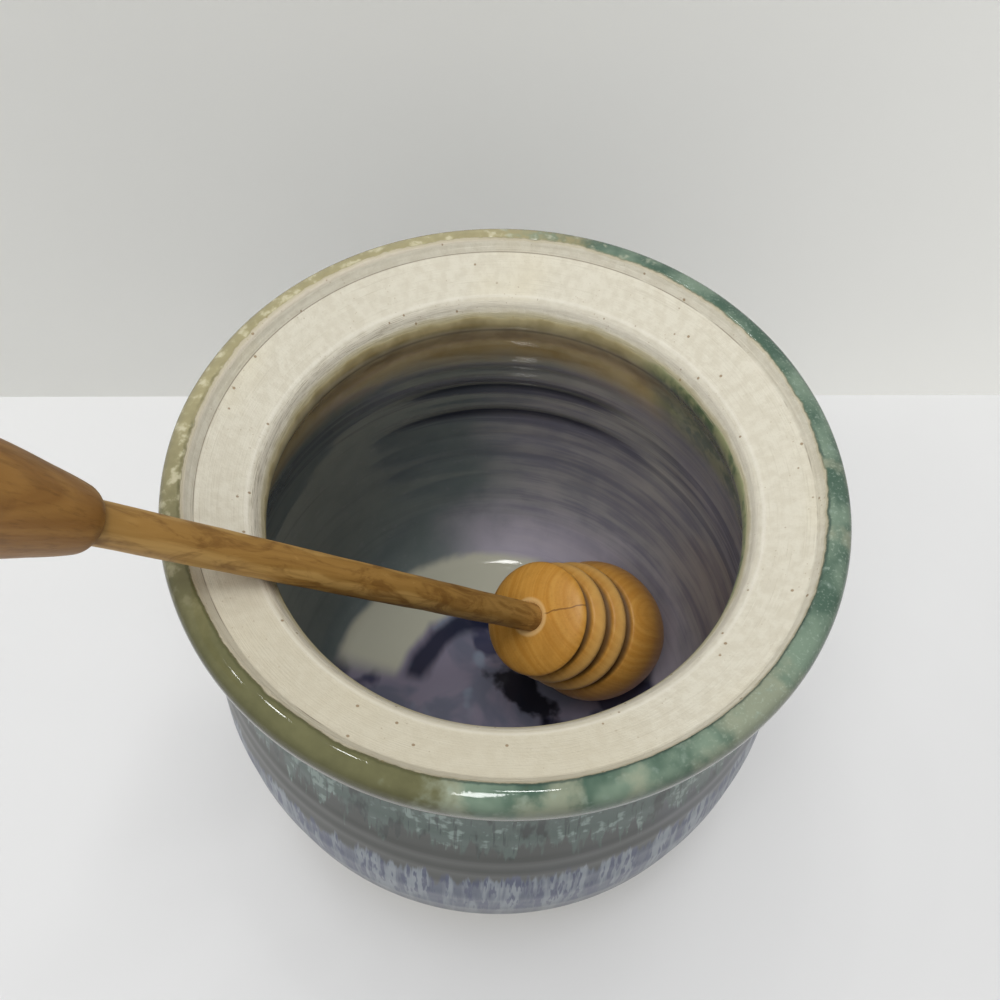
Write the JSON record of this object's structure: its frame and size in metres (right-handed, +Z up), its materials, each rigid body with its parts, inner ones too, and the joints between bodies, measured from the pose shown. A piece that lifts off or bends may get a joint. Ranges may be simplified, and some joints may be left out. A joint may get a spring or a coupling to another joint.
{
  "type": "honey pot with dipper",
  "caption": "Open wheel-thrown stoneware honey pot with a rolled rim and a recessed lid seat, holding a turned wooden honey dipper that lifts out.",
  "frame": {"origin": "centre of the pot's flat foot, on the surface it stands on", "axes": "+Z up along the pot's axis, +X to the right and +Y away from the viewer in the picture"},
  "size_m": [0.1394, 0.1154, 0.171],
  "materials": {
    "glazed_stoneware": "glossy teal and grey glaze, with a bare cream clay lid seat",
    "head_wood": "smooth turned wood, oiled",
    "dowel_wood": "smooth dowel, oiled and mottled",
    "handle_wood": "smooth turned wood, oiled"
  },
  "bodies": {
    "pot": {"pot": "glazed_stoneware"},
    "dipper": {"dipper_head": "head_wood", "dipper_shaft": "dowel_wood", "dipper_handle": "handle_wood"}
  },
  "joints": [
    {"name": "dipper_lift", "type": "slide", "parent": "pot", "child": "dipper", "axis": [-0.231, -0.1167, 0.9659], "range_m": [0, 0.12]}
  ]
}
